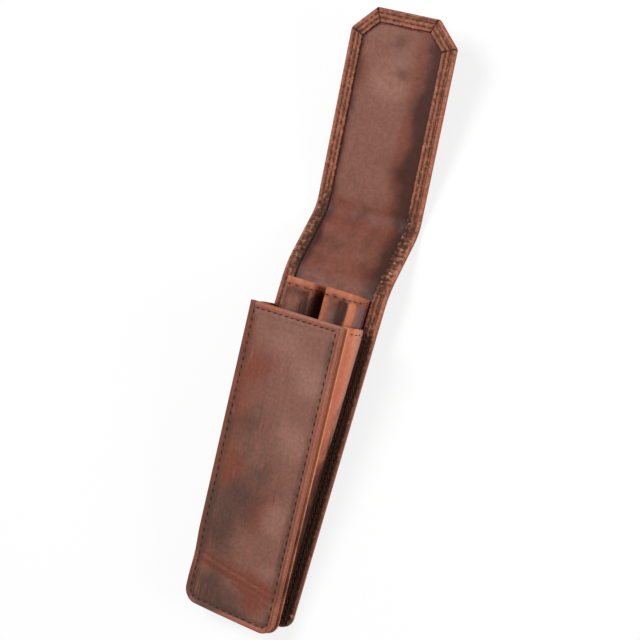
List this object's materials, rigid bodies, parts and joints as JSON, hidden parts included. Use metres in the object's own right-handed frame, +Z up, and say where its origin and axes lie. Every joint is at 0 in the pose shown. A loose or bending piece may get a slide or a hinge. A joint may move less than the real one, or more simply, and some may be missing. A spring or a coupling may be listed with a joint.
{
  "type": "double pen case",
  "caption": "Open leather pen case with a wedge-shaped pouch, arched pen channels, a folding spine and a chamfered flap.",
  "frame": {"origin": "centre of the overall box in X and Y, on the surface that the open case lies on", "axes": "+Y runs from the closed bottom end to the tip of the open flap, +Z is up, +X runs across the case to the right of someone who looks along +Y"},
  "size_m": [0.05, 0.2654, 0.0377],
  "materials": {
    "outer_leather": "worn pull-up leather, satin, greyer in the middle and redder at the edges",
    "lining_leather": "smooth waxed leather with dark blotches, satin",
    "border_leather": "grained turned-in leather edge, rougher, reddish brown",
    "gusset_leather": "thin folded leather, satin",
    "sleeve_leather": "thin smooth leather, satin",
    "thread": "waxed near-black thread",
    "magnet": "plain, hidden inside the leather"
  },
  "bodies": {
    "case": {"back_shell": "outer_leather", "back_lining": "lining_leather", "back_border_left": "border_leather", "back_border_bottom": "border_leather", "back_border_right": "border_leather", "back_seam_outer": "thread", "back_seam_inner": "thread", "front_panel": "outer_leather", "front_magnet": "magnet", "front_seam": "thread", "front_lining": "lining_leather", "gusset": "gusset_leather", "gusset_hem_left": "thread", "gusset_hem_right": "thread", "sleeve_left": "sleeve_leather", "sleeve_right": "sleeve_leather", "sleeve_hem_left": "thread", "sleeve_hem_right": "thread"},
    "spine": {"spine_shell": "outer_leather", "spine_lining": "lining_leather", "spine_border_left": "border_leather", "spine_border_right": "border_leather", "spine_seam_left_outer": "thread", "spine_seam_left_inner": "thread", "spine_seam_right_outer": "thread", "spine_seam_right_inner": "thread"},
    "flap": {"flap_shell": "outer_leather", "flap_lining": "lining_leather", "flap_magnet": "magnet", "flap_border_right": "border_leather", "flap_border_right_corner": "border_leather", "flap_border_tip": "border_leather", "flap_border_left_corner": "border_leather", "flap_border_left": "border_leather", "flap_seam_outer": "thread", "flap_seam_inner": "thread"}
  },
  "joints": [
    {"name": "spine_hinge", "type": "hinge", "parent": "case", "child": "spine", "pos_m": [0, 0.01728, 0.01337], "axis": [1, 0, 0], "range_deg": [0, 113.2]},
    {"name": "flap_hinge", "type": "hinge", "parent": "spine", "child": "flap", "pos_m": [0, 0.04607, 0.00332], "axis": [1, 0, 0], "range_deg": [0, 64]}
  ]
}
